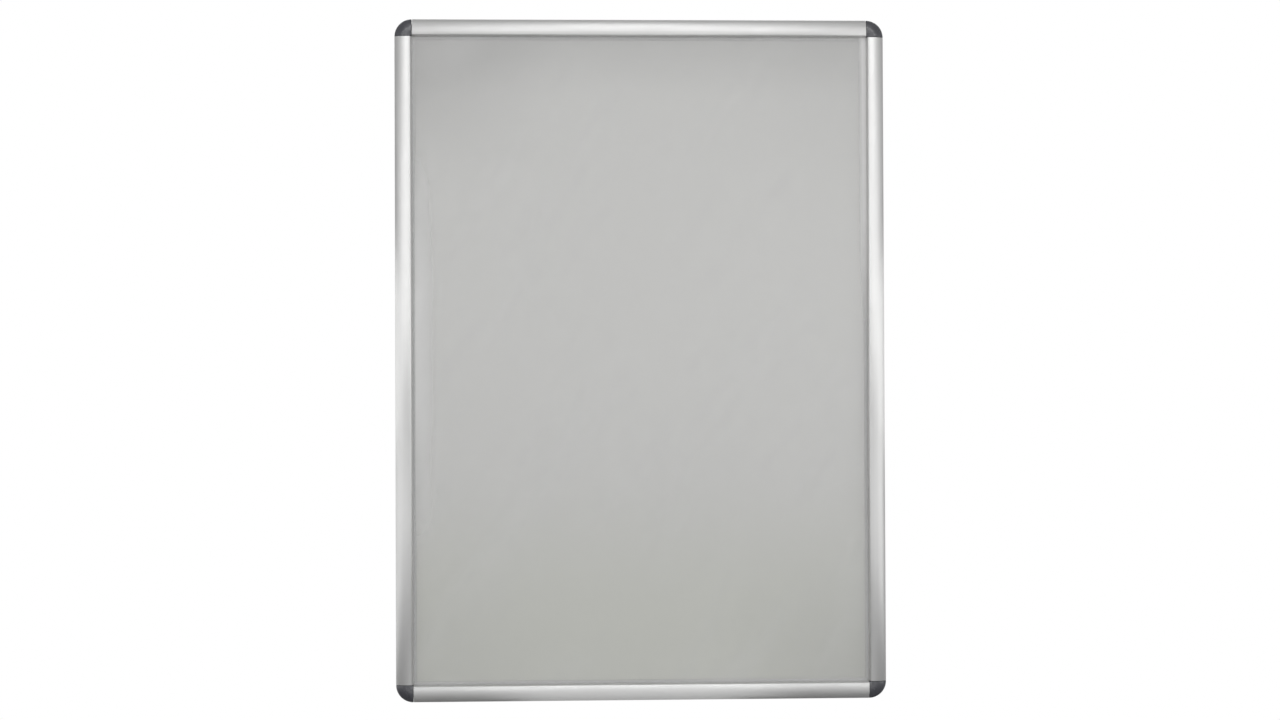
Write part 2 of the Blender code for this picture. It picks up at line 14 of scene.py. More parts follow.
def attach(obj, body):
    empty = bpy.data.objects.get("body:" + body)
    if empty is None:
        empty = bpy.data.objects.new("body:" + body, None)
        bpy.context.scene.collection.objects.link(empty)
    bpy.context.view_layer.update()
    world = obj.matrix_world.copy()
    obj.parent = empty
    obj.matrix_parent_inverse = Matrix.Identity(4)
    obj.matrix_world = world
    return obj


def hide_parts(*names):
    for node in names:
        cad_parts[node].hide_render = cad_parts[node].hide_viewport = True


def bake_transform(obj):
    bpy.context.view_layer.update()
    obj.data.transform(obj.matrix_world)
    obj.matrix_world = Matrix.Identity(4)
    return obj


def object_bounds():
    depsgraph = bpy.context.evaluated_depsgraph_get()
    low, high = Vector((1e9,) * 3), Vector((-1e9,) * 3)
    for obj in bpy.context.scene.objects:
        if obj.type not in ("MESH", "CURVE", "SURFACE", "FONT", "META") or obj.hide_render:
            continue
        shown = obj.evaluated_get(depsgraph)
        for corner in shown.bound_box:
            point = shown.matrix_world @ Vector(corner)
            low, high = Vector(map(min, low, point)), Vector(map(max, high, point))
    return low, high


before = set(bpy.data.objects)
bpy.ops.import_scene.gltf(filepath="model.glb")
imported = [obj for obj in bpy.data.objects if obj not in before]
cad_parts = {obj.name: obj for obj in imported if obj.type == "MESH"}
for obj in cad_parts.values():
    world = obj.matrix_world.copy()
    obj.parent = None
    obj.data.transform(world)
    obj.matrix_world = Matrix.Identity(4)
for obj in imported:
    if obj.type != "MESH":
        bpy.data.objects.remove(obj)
cad_low, cad_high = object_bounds()


# Base rails: four lengths of extruded aluminium that lie on the wall and carry everything else.
# They are left mill finished, as the covers hide them, then mitred along their inner flanges,
# drilled and sunk. Their shape is the CAD's, so they only get their finish here.
SIDES = ("top", "right", "bottom", "left")
ALONG_SIDES = (("X", ("top", "bottom")), ("Z", ("left", "right")))
MILL_COLOUR = (0.41, 0.41, 0.407)
MILL_ROUGHNESS = 0.5
MILL_LINES = 1.0
DIE_LINE_SIZE = (0.11, 0.00028)
DIE_BAND_SIZE = (0.6, 0.0024)
DIE_BAND_TINT = 0.07
PITS_SCALE = 5200.0
GRAIN_SPREAD = 0.80
GRAIN_TURN = 0.25
GRAIN_TILT = 0.01
NOISE_SPAN = (0.32, 0.68)
SKIN_DEPTH = 0.0001


def put(tree, kind, inputs=(), **settings):
    """A node with its settings, its inputs given values or linked to other nodes' outputs."""
    node = tree.nodes.new(kind)
    for name, value in settings.items():
        setattr(node, name, value)
    for name, value in dict(inputs).items():
        if isinstance(value, bpy.types.NodeSocket):
            tree.links.new(value, node.inputs[name])
        else:
            node.inputs[name].default_value = value
    return node


def calc(tree, operation, *values):
    """A Math node's result."""
    return put(tree, "ShaderNodeMath", enumerate(values), operation=operation).outputs["Value"]


def remap(tree, value, span, to=(0.0, 1.0), smooth=False):
    """A value taken from one span to another, and held at the ends."""
    inputs = {"Value": value, "From Min": span[0], "From Max": span[1]}
    inputs |= {"To Min": to[0], "To Max": to[1]}
    kind = "SMOOTHSTEP" if smooth else "LINEAR"
    return put(tree, "ShaderNodeMapRange", inputs, interpolation_type=kind).outputs["Result"]


def clouds(tree, vector, scale, detail=3.0, roughness=0.5):
    """A Noise Texture's value."""
    inputs = {"Vector": vector, "Scale": scale, "Detail": detail, "Roughness": roughness}
    return put(tree, "ShaderNodeTexNoise", inputs).outputs["Fac"]


def stretch(tree, vector, **settings):
    """Coordinates divided by a Scale along each axis, after their Location and Rotation are
    taken off."""
    inputs = {"Vector": vector, **settings}
    return put(tree, "ShaderNodeMapping", inputs, vector_type="TEXTURE").outputs["Vector"]


def mixed_colour(tree, factor, first, second, how="MIX"):
    """Two colours mixed by a factor."""
    inputs = {"Factor": factor, "A": first, "B": second}
    mix = put(tree, "ShaderNodeMix", inputs, data_type="RGBA", blend_type=how)
    return mix.outputs["Result"]


def between(tree, factor, colour, darker, lighter):
    """A colour that wanders between a darker and a lighter one of its kind."""
    ends = [(*(min(1.0, part * tint) for part in colour), 1.0) for tint in (darker, lighter)]
    return mixed_colour(tree, factor, *ends)


def bump(tree, height, strength, distance=SKIN_DEPTH):
    """The normal of a surface with the relief that a height gives it."""
    inputs = {"Height": height, "Strength": strength, "Distance": distance}
    return put(tree, "ShaderNodeBump", inputs).outputs["Normal"]


def new_group(name, inputs, outputs):
    """A node group with its input and output nodes. A socket whose name ends in Vector or Size
    holds a vector, and any other a float."""
    group = bpy.data.node_groups.new(name, "ShaderNodeTree")
    for way, names in (("INPUT", inputs), ("OUTPUT", outputs)):
        for socket in names:
            kind = "Vector" if socket.endswith(("Vector", "Size")) else "Float"
            group.interface.new_socket(socket, in_out=way, socket_type="NodeSocket" + kind)
    return group, group.nodes.new("NodeGroupInput"), group.nodes.new("NodeGroupOutput")


def handling_marks_group():
    """Roughness that wanders a little, as where a surface was wiped and handled."""
    inputs = ("Vector", "Scale", "Roughness", "Amount")
    group, given, result = new_group("handling_marks", inputs, ("Roughness",))
    cloud = clouds(group, given.outputs["Vector"], given.outputs["Scale"], detail=5.0)
    centred = remap(group, cloud, NOISE_SPAN, (-1.0, 1.0))
    amount, middle = given.outputs["Amount"], given.outputs["Roughness"]
    group.links.new(calc(group, "MULTIPLY_ADD", centred, amount, middle), result.inputs[0])
    return group


handling_marks = handling_marks_group()


def marked(tree, vector, scale, roughness, amount):
    """The roughness that the handling marks group gives a material."""
    inputs = {"Vector": vector, "Scale": scale, "Roughness": roughness, "Amount": amount}
    return put(tree, "ShaderNodeGroup", inputs, node_tree=handling_marks).outputs["Roughness"]


def die_lines_group():
    """What the die leaves along an extrusion: broad bands, and fine lines over a pitted skin."""
    inputs = ("Vector", "Line Size", "Band Size", "Lines")
    group, given, result = new_group("die_lines", inputs, ("Band", "Height"))
    vector, lines = given.outputs["Vector"], given.outputs["Lines"]
    fine = clouds(group, stretch(group, vector, Scale=given.outputs["Line Size"]), 1.0, 2.0)
    broad = clouds(group, stretch(group, vector, Scale=given.outputs["Band Size"]), 1.0)
    pits = clouds(group, vector, PITS_SCALE, detail=2.0, roughness=0.6)
    group.links.new(broad, result.inputs["Band"])
    group.links.new(calc(group, "MULTIPLY_ADD", fine, lines, pits), result.inputs["Height"])
    return group


die_lines = die_lines_group()


def new_material(name):
    """A material with its tree, its Principled shader and its Object coordinates."""
    material = bpy.data.materials.new(name)
    material.use_nodes = True
    tree = material.node_tree
    coordinates = tree.nodes.new("ShaderNodeTexCoord").outputs["Object"]
    return material, tree, tree.nodes["Principled BSDF"], coordinates


def finish(tree, shader, colour, roughness, normal):
    """Links a material's colour, roughness and normal to its shader."""
    tree.links.new(colour, shader.inputs["Base Color"])
    tree.links.new(roughness, shader.inputs["Roughness"])
    tree.links.new(normal, shader.inputs["Normal"])


def extruded_aluminium(name, along, colour, roughness, lines):
    """Extruded aluminium: die lines along the rail, and a grain that spreads what the metal
    mirrors across it."""
    material, tree, shader, coordinates = new_material(name)
    inputs = {"Vector": coordinates, "Lines": lines}
    for size, (length, width) in (("Line Size", DIE_LINE_SIZE), ("Band Size", DIE_BAND_SIZE)):
        inputs[size] = [length if axis == along else width for axis in "XYZ"]
    drawn = put(tree, "ShaderNodeGroup", inputs, node_tree=die_lines).outputs
    tint = DIE_BAND_TINT * lines
    finish(
        tree,
        shader,
        between(tree, drawn["Band"], colour, 1.0 - tint, 1.0 + tint),
        marked(tree, coordinates, scale=22.0, roughness=roughness, amount=0.02),
        bump(tree, drawn["Height"], strength=0.05),
    )
    grain = {axis: 1.0 if axis == along else GRAIN_TILT for axis in "XYZ"}
    grain_line = put(tree, "ShaderNodeCombineXYZ", grain).outputs["Vector"]
    tree.links.new(grain_line, shader.inputs["Tangent"])
    shader.inputs["Metallic"].default_value = 1.0
    shader.inputs["Anisotropic"].default_value = GRAIN_SPREAD
    shader.inputs["Anisotropic Rotation"].default_value = GRAIN_TURN
    return material


def finish_cad_node(name, material):
    """Gives one of the CAD's own meshes its finish."""
    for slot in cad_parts[name].material_slots:
        slot.material = material


for along, sides in ALONG_SIDES:
    mill_name = "mill_aluminium_" + along
    mill = extruded_aluminium(mill_name, along, MILL_COLOUR, MILL_ROUGHNESS, MILL_LINES)
    for side in sides:
        finish_cad_node("base_rail_" + side, mill)


# Backing panel: a 2 mm sheet of grey polystyrene board that slides into the base rails' slot
# before the last corner is joined. It is cut with round corners, and bows a little in the slot.
PANEL_INSET = 0.0167
PANEL_BACK = 0.0015
PANEL_THICKNESS = 0.002
PLATE_CORNER_RADIUS = 0.003
PLATE_CORNER_STEPS = 6
PANEL_EDGE_ROUND = 0.0002
PANEL_CELLS = (60, 84)
PANEL_BOW = 0.0003
PANEL_WAVE_RATES = (3.0, 2.4)
PANEL_WAVE_LAYER = 7.0
PANEL_HELD_INSET = 0.028
PANEL_HELD_REACH = 0.15
# The board's painted light and shade: a darker, greener colour below for the dimmer light there,
# and a grey multiplied in away from a lit upper middle, along the top edge and in the corners.
PANEL_COLOUR = (0.580, 0.578, 0.561)
PANEL_LOW_LIGHT_COLOUR = (0.547, 0.560, 0.489)
PANEL_LOW_SPAN = (-0.12, -0.36)
PANEL_TINTS = (0.985, 1.015)
PANEL_GRAIN_DEPTH = 0.0002
PANEL_FULL_SHADE_GREY = 0.6
PANEL_SHADE_TOP = 0.48
PANEL_SHADE_TOP_SPAN = (0.33, 0.42)
PANEL_SHADE_ROUND = 0.40
PANEL_SHADE_ROUND_SPAN = (0.2, 1.3)
PANEL_LIT_MIDDLE = (0.0, 0.0, 0.13)
PANEL_LIT_SIZE = (0.5, 1.0, 0.42)
PANEL_SHADE_CORNERS = ((-1, 1, 0.74), (1, 1, 0.17), (-1, -1, 0.30), (1, -1, 0.56))
PANEL_CORNER_SPAN_X = (0.07, 0.30)
PANEL_CORNER_SPAN_Z = (0.20, 0.42)
SMOOTH_ANGLE = math.radians(35)


def new_piece(name, work, material):
    """An object of the finished bmesh, shaded smooth but for its sharp edges."""
    bmesh.ops.recalc_face_normals(work, faces=work.faces)
    mesh = bpy.data.meshes.new(name)
    work.to_mesh(mesh)
    work.free()
    mesh.materials.append(material)
    mesh.shade_smooth()
    mesh.set_sharp_from_angle(angle=SMOOTH_ANGLE)
    piece = bpy.data.objects.new(name, mesh)
    bpy.context.scene.collection.objects.link(piece)
    return piece


def round_edges(work, edges, width, segments=2):
    """Bevels edges to a small radius."""
    bmesh.ops.bevel(
        work,
        geom=edges,
        offset=width,
        segments=segments,
        affect="EDGES",
        profile=0.5,
        material=-1,
    )


def kind_of(parts, kind):
    """Those parts of a bmesh that are of one kind, such as its verts."""
    return [part for part in parts if isinstance(part, kind)]


def sharp_edges(work, least_degrees=50):
    """The edges whose two faces meet at more than an angle."""
    return [edge for edge in work.edges if edge.calc_face_angle(0) > math.radians(least_degrees)]


def plate_mesh(inset, back, thickness, edge_round, cells, bow):
    """A thin plate with round corners that stands on a height, pushed out by bow(x, z)."""
    work = bmesh.new()
    half_width = cad_high.x - inset
    half_height = cad_high.z - inset
    bmesh.ops.create_grid(work, x_segments=cells[0], y_segments=cells[1], size=1.0)
    bmesh.ops.scale(work, vec=(half_width, half_height, 1.0), verts=work.verts)
    corners = [vert for vert in work.verts if len(vert.link_edges) == 2]
    bmesh.ops.bevel(
        work,
        geom=corners,
        offset=PLATE_CORNER_RADIUS,
        segments=PLATE_CORNER_STEPS,
        affect="VERTICES",
        profile=0.5,
        material=-1,
    )
    for vert in work.verts:
        vert.co.z = back + bow(vert.co.x, vert.co.y)
    raised = bmesh.ops.extrude_face_region(work, geom=work.faces[:])["geom"]
    front = kind_of(raised, bmesh.types.BMVert)
    bmesh.ops.translate(work, vec=(0.0, 0.0, thickness), verts=front)
    round_edges(work, sharp_edges(work, least_degrees=60), edge_round)
    bmesh.ops.rotate(work, matrix=Matrix.Rotation(math.pi / 2, 3, "X"), verts=work.verts)
    return work


def held_edge(x, z, inset, reach):
    """0 where the frame holds a plate's edge, rising to 1 at a reach further in."""
    depth = min(cad_high.x - inset - abs(x), cad_high.z - inset - abs(z))
    share = min(max(depth / reach, 0.0), 1.0)
    return share * share * (3 - 2 * share)


def panel_bow(x, z):
    """How far the board bows in its slot."""
    rate_x, rate_z = PANEL_WAVE_RATES
    wave = noise.noise(Vector((rate_x * x, rate_z * z, PANEL_WAVE_LAYER)))
    return PANEL_BOW * wave * held_edge(x, z, PANEL_HELD_INSET, PANEL_HELD_REACH)


def painted_shade_on_board(tree, coordinates):
    """How much painted shade darkens the board, from 0 in its lit upper middle to 1 along the top
    edge and in the corners, and from 0 to 1 how low on it a point is."""
    parts = put(tree, "ShaderNodeSeparateXYZ", {"Vector": coordinates}).outputs
    shift = stretch(tree, coordinates, Location=PANEL_LIT_MIDDLE, Scale=PANEL_LIT_SIZE)
    radius = put(tree, "ShaderNodeVectorMath", {0: shift}, operation="LENGTH").outputs["Value"]
    # Painted shade away from the lit middle, along the top edge and in each corner.
    round_shade, top_shade = (0.0, PANEL_SHADE_ROUND), (0.0, PANEL_SHADE_TOP)
    around = remap(tree, radius, PANEL_SHADE_ROUND_SPAN, round_shade, smooth=True)
    above = remap(tree, parts["Z"], PANEL_SHADE_TOP_SPAN, top_shade, smooth=True)
    painted_shade = calc(tree, "ADD", around, above)
    for side_x, side_z, amount in PANEL_SHADE_CORNERS:
        sideways = calc(tree, "MULTIPLY", parts["X"], side_x)
        upwards = calc(tree, "MULTIPLY", parts["Z"], side_z)
        near_side = remap(tree, sideways, PANEL_CORNER_SPAN_X, smooth=True)
        near_end = remap(tree, upwards, PANEL_CORNER_SPAN_Z, (0.0, amount), smooth=True)
        painted_shade = calc(tree, "MULTIPLY_ADD", near_side, near_end, painted_shade)
    return painted_shade, remap(tree, parts["Z"], PANEL_LOW_SPAN, smooth=True)


def grey_board():
    """Matt polystyrene board: a fine rolled grain, painted shade that darkens the grey away from
    its lit upper middle, along its top edge and in its corners, and a painted dimmer, greener
    light below."""
    material, tree, shader, coordinates = new_material("grey_board")
    cloud = clouds(tree, coordinates, 5.0, detail=4.0, roughness=0.55)
    grain = clouds(tree, coordinates, 1500.0, detail=3.0, roughness=0.6)
    painted_shade, low = painted_shade_on_board(tree, coordinates)
    # Painted light: the lower colour stands for the dimmer, greener light low on the board.
    upper = between(tree, cloud, PANEL_COLOUR, *PANEL_TINTS)
    lower = between(tree, cloud, PANEL_LOW_LIGHT_COLOUR, *PANEL_TINTS)
    unshaded = mixed_colour(tree, low, upper, lower)
    # Painted shade: where it is full, the board's colour is multiplied by this grey.
    shade_grey = (PANEL_FULL_SHADE_GREY, PANEL_FULL_SHADE_GREY, PANEL_FULL_SHADE_GREY, 1.0)
    finish(
        tree,
        shader,
        mixed_colour(tree, painted_shade, unshaded, shade_grey, how="MULTIPLY"),
        marked(tree, coordinates, scale=14.0, roughness=0.55, amount=0.04),
        bump(tree, grain, strength=0.12, distance=PANEL_GRAIN_DEPTH),
    )
    return material


panel_work = plate_mesh(
    PANEL_INSET, PANEL_BACK, PANEL_THICKNESS, PANEL_EDGE_ROUND, PANEL_CELLS, panel_bow
)
panel = new_piece("grey_backing_panel", panel_work, grey_board())
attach(panel, "frame")
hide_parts("backing_panel")


# Corner caps: domed quarter rounds of anthracite plastic, moulded hollow with two ribs inside.
# A tongue on each side slides into a base rail's channel, where a screw from behind holds it.
CAP_SIZE = 0.0223
CAP_DEPTH = 0.014
CAP_CROWN_INSET = 0.0145
CAP_CROWN_RADIUS = 0.0175
CAP_CROWN_SHARE = 0.3
CAP_EDGE_HEIGHT = 0.0042
CAP_CELLS = 40
CAP_WALL = 0.0018
CAP_END_WALL = 0.0016
CAP_EDGE_ROUND = 0.0003
CAP_POCKET = 0.0061
RIB_LINE = 0.0116
RIB_THICKNESS = 0.0012
RIB_BOTTOM = 0.001
TONGUE_LENGTH = 0.03
TONGUE_WIDTH = 0.0078
TONGUE_THICKNESS = 0.0035
TONGUE_BOTTOM = 0.0015
TONGUE_TAPER = 0.0022
TONGUE_ROUND = 0.0002
SCREW_REACH = 0.018
SCREW_BORE = 0.00175
SCREW_BORE_DEPTH = 0.03
SCREW_BORE_SIDES = 40
PAST_SURFACE = 0.001
NEXT_TO_ZERO = 1e-9
ANTHRACITE_COLOUR = (0.040, 0.041, 0.050)


def whole(work):
    """All of a bmesh, for operators that take its geometry."""
    return work.verts[:] + work.edges[:] + work.faces[:]


def cap_face(share, offset):
    """Radius and height of the cap's rounded face, moved inwards by an offset, at a share of the
    way from its inner corner to its rim."""
    ridge = CAP_SIZE - CAP_CROWN_INSET
    if share < CAP_CROWN_SHARE:
        radius = CAP_CROWN_RADIUS - offset
        lean = math.asin(ridge / radius) * (1 - share / CAP_CROWN_SHARE)
        low = CAP_DEPTH - CAP_CROWN_RADIUS
        return ridge - radius * math.sin(lean), low + radius * math.cos(lean)
    lean = math.pi / 2 * (share - CAP_CROWN_SHARE) / (1 - CAP_CROWN_SHARE)
    run = CAP_CROWN_INSET - offset
    rise = CAP_DEPTH - CAP_EDGE_HEIGHT - offset
    return ridge + run * math.sin(lean), CAP_EDGE_HEIGHT + rise * math.cos(lean)


def quarter_dome(offset, bottom, start):
    """A solid quarter dome about the cap's inner corner, its two flat sides a start away from it.
    A square grid is wrapped round the corner, so that its cells stay even for the bevels."""
    work = bmesh.new()
    bmesh.ops.create_grid(work, x_segments=CAP_CELLS, y_segments=CAP_CELLS, size=0.5)
    for vert in work.verts:
        across, along = vert.co.x + 0.5, vert.co.y + 0.5
        share = max(across, along, NEXT_TO_ZERO)
        turn = math.pi / 4 * min(across, along) / share
        turn = turn if across >= along else math.pi / 2 - turn
        radius, height = cap_face(share, offset)
        vert.co = (radius * math.cos(turn), radius * math.sin(turn), height)
    rim = [edge for edge in work.edges if edge.is_boundary]
    skirt = bmesh.ops.extrude_edge_only(work, edges=rim)["geom"]
    for vert in kind_of(skirt, bmesh.types.BMVert):
        vert.co.z = bottom
    foot = [edge for edge in kind_of(skirt, bmesh.types.BMEdge) if edge.is_boundary]
    bmesh.ops.contextual_create(work, geom=foot)
    trimmed_sides = ((1.0, 0.0, 0.0), (0.0, 1.0, 0.0)) if start else ()
    for side in trimmed_sides:
        cut = bmesh.ops.bisect_plane(
            work,
            geom=whole(work),
            plane_co=start * Vector(side),
            plane_no=side,
            clear_inner=True,
        )
        bmesh.ops.contextual_create(work, geom=kind_of(cut["geom_cut"], bmesh.types.BMEdge))
    bmesh.ops.recalc_face_normals(work, faces=work.faces)
    return work


def box_work(low, high):
    """A box between two corners."""
    work = bmesh.new()
    bmesh.ops.create_cube(work, size=1.0)
    sides = Vector(high) - Vector(low)
    bmesh.ops.scale(work, vec=sides, verts=work.verts)
    bmesh.ops.translate(work, vec=Vector(low) + sides / 2, verts=work.verts)
    return work


def tongue_work():
    """A tongue of the cap along -X, with a tapered tip and rounded edges."""
    root = CAP_END_WALL + CAP_WALL
    low = (-TONGUE_LENGTH, -TONGUE_WIDTH / 2, TONGUE_BOTTOM)
    high = (root, TONGUE_WIDTH / 2, TONGUE_BOTTOM + TONGUE_THICKNESS)
    work = box_work(low, high)
    tip = [
        edge
        for edge in work.edges
        if all(vert.co.x < low[0] + PAST_SURFACE for vert in edge.verts)
        and abs(edge.verts[0].co.z - edge.verts[1].co.z) > PAST_SURFACE
    ]
    round_edges(work, tip, TONGUE_TAPER, segments=1)
    round_edges(work, sharp_edges(work, least_degrees=30), TONGUE_ROUND)
    return work


def moved(work, matrix):
    """A bmesh after it was moved by a matrix."""
    bmesh.ops.transform(work, matrix=matrix, verts=work.verts)
    return work


def bore_work(place):
    """A cutter along Z for a screw's hole."""
    work = bmesh.new()
    bmesh.ops.create_cone(
        work,
        cap_ends=True,
        segments=SCREW_BORE_SIDES,
        radius1=SCREW_BORE,
        radius2=SCREW_BORE,
        depth=SCREW_BORE_DEPTH,
    )
    return moved(work, Matrix.Translation(place))


def plain_object(name, work):
    """An unfinished object of a bmesh, for Booleans."""
    mesh = bpy.data.meshes.new(name)
    work.to_mesh(mesh)
    work.free()
    made = bpy.data.objects.new(name, mesh)
    bpy.context.scene.collection.objects.link(made)
    return made


def carved(work, steps):
    """The bmesh after Booleans with each (operation, bmesh) of steps."""
    body = plain_object("carved_body", work)
    tools = []
    for operation, tool_work in steps:
        tool = plain_object("carving_tool", tool_work)
        tools.append(tool)
        boolean = body.modifiers.new(operation.lower(), "BOOLEAN")
        boolean.operation = operation
        boolean.solver = "EXACT"
        boolean.object = tool
    bpy.context.view_layer.update()
    finished = body.evaluated_get(bpy.context.evaluated_depsgraph_get())
    result = bmesh.new()
    result.from_mesh(finished.to_mesh())
    finished.to_mesh_clear()
    for old in [body, *tools]:
        bpy.data.objects.remove(old, do_unlink=True)
    return result


def corner_cap_work():
    """The cap about its inner corner, with the wall at Z = 0."""
    shell = quarter_dome(0.0, 0.0, 0.0)
    round_edges(shell, sharp_edges(shell), CAP_EDGE_ROUND, segments=3)
    far = CAP_SIZE + PAST_SURFACE
    low_rib = RIB_LINE - RIB_THICKNESS / 2
    high_rib = RIB_LINE + RIB_THICKNESS / 2
    ribs = [
        box_work((-far, low_rib, RIB_BOTTOM), (far, high_rib, far)),
        box_work((low_rib, -far, RIB_BOTTOM), (high_rib, far, far)),
    ]
    hollow = quarter_dome(CAP_WALL, -PAST_SURFACE, CAP_END_WALL)
    hollow = carved(hollow, [("DIFFERENCE", rib) for rib in ribs])
    pocket = box_work((-PAST_SURFACE,) * 3, (CAP_POCKET,) * 3)
    sideways = Matrix.Translation((0.0, RIB_LINE, 0.0))
    downwards = Matrix.Translation((RIB_LINE, 0.0, 0.0)) @ Matrix.Rotation(math.pi / 2, 4, "Z")
    return carved(
        shell,
        [
            ("DIFFERENCE", hollow),
            ("DIFFERENCE", pocket),
            ("UNION", moved(tongue_work(), sideways)),
            ("UNION", moved(tongue_work(), downwards)),
            ("DIFFERENCE", bore_work((-SCREW_REACH, RIB_LINE, 0.0))),
            ("DIFFERENCE", bore_work((RIB_LINE, -SCREW_REACH, 0.0))),
        ],
    )


def moulded_plastic():
    """Anthracite plastic with the fine matt texture of its mould and faint handling marks."""
    material, tree, shader, coordinates = new_material("anthracite_plastic")
    inputs = {"Vector": coordinates, "Scale": 3200.0}
    spark = put(tree, "ShaderNodeTexVoronoi", inputs, feature="SMOOTH_F1").outputs["Distance"]
    cloud = clouds(tree, coordinates, 160.0, detail=4.0, roughness=0.6)
    finish(
        tree,
        shader,
        between(tree, cloud, ANTHRACITE_COLOUR, darker=0.9, lighter=1.12),
        marked(tree, coordinates, scale=90.0, roughness=0.25, amount=0.03),
        bump(tree, spark, strength=0.16),
    )
    shader.inputs["Specular IOR Level"].default_value = 1.0
    return material


cap_pattern = corner_cap_work()
anthracite = moulded_plastic()
upright = Matrix.Rotation(math.pi / 2, 4, "X")
CORNERS = (
    ("top_right", 1, 1),
    ("bottom_right", 1, -1),
    ("bottom_left", -1, -1),
    ("top_left", -1, 1),
)
for index, (corner, side_x, side_z) in enumerate(CORNERS):
    turn = Matrix.Rotation(index * math.pi / 2, 4, "Y")
    inner_corner = (side_x * (cad_high.x - CAP_SIZE), 0.0, side_z * (cad_high.z - CAP_SIZE))
    cap_work = moved(cap_pattern.copy(), Matrix.Translation(inner_corner) @ turn @ upright)
    cap = new_piece("anthracite_cap_" + corner, cap_work, anthracite)
    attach(cap, "frame")
    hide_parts("corner_cap_" + corner)
cap_pattern.free()


# Corner screws: eight short countersunk steel screws, zinc plated and passivated, driven from
# behind through the base rails into the caps' tongues. They keep the CAD's shape.
ZINC_COLOUR = (0.60, 0.61, 0.60)


def zinc_plate():
    """Bright zinc, a little blotched by its passivation."""
    material, tree, shader, coordinates = new_material("zinc_plated_steel")
    film = clouds(tree, coordinates, 700.0)
    finish(
        tree,
        shader,
        between(tree, film, ZINC_COLOUR, darker=0.93, lighter=1.06),
        marked(tree, coordinates, scale=900.0, roughness=0.36, amount=0.08),
        bump(tree, film, strength=0.05),
    )
    shader.inputs["Metallic"].default_value = 1.0
    return material


zinc = zinc_plate()
for corner, _, _ in CORNERS:
    for number in (1, 2):
        finish_cad_node(f"corner_screw_{corner}_{number}", zinc)


# Clear sheet: 0.5 mm of clear anti-glare PVC that lies on the base rails' ledge, loose under the
# snap rails' lips. Being thin it never lies quite flat, and the light on it shows its waves.
SHEET_INSET = 0.0167
SHEET_BACK = 0.0053
SHEET_THICKNESS = 0.0005
SHEET_EDGE_ROUND = 0.00008
SHEET_CELLS = (100, 140)
SHEET_HELD = 0.0115
SHEET_HELD_REACH = 0.05
SHEET_WAVE = 0.0005
SHEET_WAVE_RATES = (6.0, 5.0)
SHEET_WAVE_SLANTS = (0.6, 0.5)
SHEET_WAVE_LAYER = 3.0
SHEET_LIFT = 0.5
SHEET_RIPPLE = 0.8
# The whitish film's alpha paints reflections: slanted streaks over an even haze, and highlights
# along the left margin about its middle and the right margin towards its top.
FILM_COLOUR = (0.78, 0.78, 0.775, 1.0)
FILM_HAZE_AND_SHEEN = (0.22, 0.28)
STREAK_SLANT = (0.0, math.radians(30), 0.0)
STREAK_SIZE = (0.075, 1.0, 0.22)
STREAK_SPAN = (0.48, 0.74)
MARGIN_PAINTED_HIGHLIGHT = (0.0, 0.42)
LEFT_MARGIN = (-0.262, -0.2900)
LEFT_MARGIN_END = (-0.2932, -0.2912)
LEFT_MARGIN_MIDDLE = 0.03
LEFT_MARGIN_FADE = (0.30, 0.04)
RIGHT_MARGIN = (0.284, 0.2915)
RIGHT_MARGIN_FADE = (0.0, 0.22)


def sheet_bow(x, z):
    """How far the sheet stands off the ledge: in slanted waves, and flat where the lips lie."""
    held = held_edge(x, z, SHEET_INSET + SHEET_HELD, SHEET_HELD_REACH)
    rate_x, rate_z = SHEET_WAVE_RATES
    slant_x, slant_z = SHEET_WAVE_SLANTS
    place = (rate_x * (x + slant_x * z), rate_z * (z - slant_z * x), SHEET_WAVE_LAYER)
    return SHEET_WAVE * (SHEET_LIFT + SHEET_RIPPLE * noise.noise(Vector(place))) * held


def haze_and_painted_sheen(tree, coordinates):
    """The film's alpha: an even haze with slanted streaks of painted reflection over it, and
    painted highlights along two margins, the left one about its middle and the right one towards
    its top."""
    parts = put(tree, "ShaderNodeSeparateXYZ", {"Vector": coordinates}).outputs
    streaks = stretch(tree, coordinates, Rotation=STREAK_SLANT, Scale=STREAK_SIZE)
    cloud = clouds(tree, streaks, 1.0, detail=2.0)
    # Painted reflection: slanted streaks over the even haze.
    haze_and_streaks = remap(tree, cloud, STREAK_SPAN, FILM_HAZE_AND_SHEEN, smooth=True)
    # Painted highlights along the left margin about its middle and the right one towards its top.
    beside = remap(tree, parts["X"], LEFT_MARGIN, MARGIN_PAINTED_HIGHLIGHT, smooth=True)
    clear_lip = remap(tree, parts["X"], LEFT_MARGIN_END)
    above = calc(tree, "SUBTRACT", parts["Z"], LEFT_MARGIN_MIDDLE)
    middle = remap(tree, calc(tree, "ABSOLUTE", above), LEFT_MARGIN_FADE, smooth=True)
    left = calc(tree, "MULTIPLY", calc(tree, "MULTIPLY", beside, clear_lip), middle)
    under = remap(tree, parts["X"], RIGHT_MARGIN, MARGIN_PAINTED_HIGHLIGHT, smooth=True)
    upper = remap(tree, parts["Z"], RIGHT_MARGIN_FADE, smooth=True)
    return calc(tree, "ADD", calc(tree, "MULTIPLY_ADD", under, upper, left), haze_and_streaks)


def anti_glare_film():
    """Clear plastic with a faint haze and painted reflections, its front etched so that
    reflections spread out.
    """
    material, tree, shader, coordinates = new_material("clear_sheet")
    frost = clouds(tree, coordinates, 2600.0, detail=2.0)
    roughness = marked(tree, coordinates, scale=10.0, roughness=0.33, amount=0.03)
    shader.inputs["Base Color"].default_value = FILM_COLOUR
    shader.inputs["Specular IOR Level"].default_value = 0.8
    tree.links.new(haze_and_painted_sheen(tree, coordinates), shader.inputs["Alpha"])
    tree.links.new(roughness, shader.inputs["Roughness"])
    tree.links.new(bump(tree, frost, strength=0.08), shader.inputs["Normal"])
    return material


